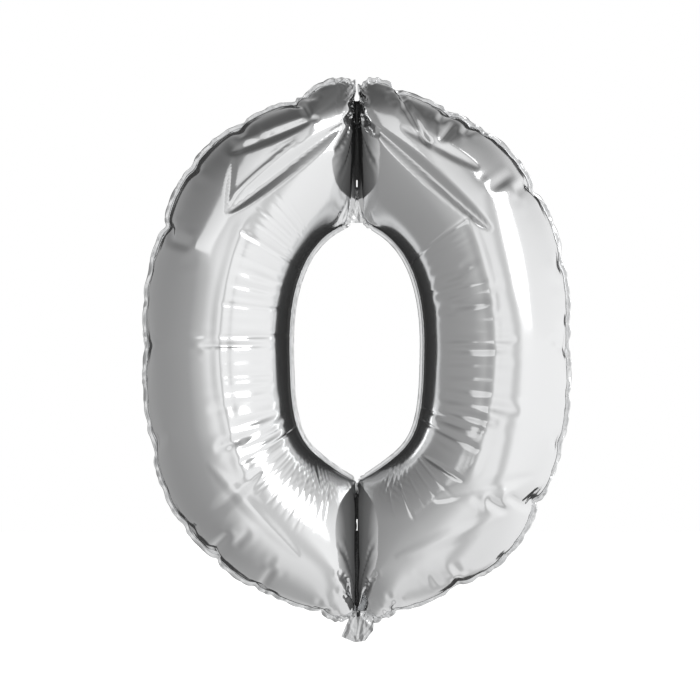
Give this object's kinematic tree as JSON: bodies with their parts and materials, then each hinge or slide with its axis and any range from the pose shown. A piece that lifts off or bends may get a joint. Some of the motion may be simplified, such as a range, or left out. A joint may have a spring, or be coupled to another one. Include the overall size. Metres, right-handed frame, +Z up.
{
  "type": "foil number balloon",
  "caption": "Gas-filled foil number zero: a mirror-silver ring of two lobes pinched at top and bottom, with hanging ear and filling tail.",
  "frame": {"origin": "middle of the whole balloon's box, on the plane of its seams, hanging ear and tail included", "axes": "+Z up through the top of the ring, -Y out of the front face, +X to the viewer's right"},
  "size_m": [0.676, 0.19, 0.899],
  "materials": {
    "foil": "metallised nylon film, mirror bright, softly creased",
    "welded_foil": "two sheets of metallised film welded together, bright, finely crinkled",
    "tail_foil": "metallised film, slack and crumpled",
    "valve_film": "thin milky polyethylene film"
  },
  "bodies": {
    "left_half": {"left_front_panel": "foil", "left_back_panel": "foil", "left_outer_seam": "welded_foil", "left_hole_seam": "welded_foil", "hang_ear": "welded_foil", "hole_web": "welded_foil", "top_pinch_weld": "welded_foil", "bottom_pinch_weld": "welded_foil", "top_notch_seam": "welded_foil", "top_passage_front_film": "foil", "top_passage_back_film": "foil", "bottom_passage_front_film": "foil", "bottom_passage_back_film": "foil"},
    "right_half": {"right_front_panel": "foil", "right_back_panel": "foil", "right_outer_seam": "welded_foil", "right_hole_seam": "welded_foil", "throat_front_weld": "welded_foil", "throat_back_weld": "welded_foil"},
    "tail": {"tail_front_film": "tail_foil", "tail_back_film": "tail_foil", "tail_side_welds": "tail_foil"},
    "valve_front": {"valve_front_film": "valve_film"},
    "valve_back": {"valve_back_film": "valve_film", "valve_edge_welds": "valve_film"}
  },
  "joints": [
    {"name": "centre_fold", "type": "hinge", "parent": "left_half", "child": "right_half", "pos_m": [0, 0, 0], "axis": [0, 0, 1], "range_deg": [-20, 20]},
    {"name": "tail_bend", "type": "hinge", "parent": "right_half", "child": "tail", "pos_m": [0.006, 0, -0.4145], "axis": [1, 0, 0], "range_deg": [-85, 85]},
    {"name": "valve_front_lift", "type": "hinge", "parent": "right_half", "child": "valve_front", "pos_m": [0.006, -0.00015, -0.4055], "axis": [1, 0, 0], "range_deg": [0, 2.4], "stiffness_Nm_per_rad": 0.0001},
    {"name": "valve_back_lift", "type": "hinge", "parent": "right_half", "child": "valve_back", "pos_m": [0.006, 0.00015, -0.4055], "axis": [1, 0, 0], "range_deg": [-2.4, 0], "stiffness_Nm_per_rad": 0.0001}
  ],
  "couplings": [
    {"joint": "valve_back_lift", "follows": "valve_front_lift", "ratio": -1}
  ]
}
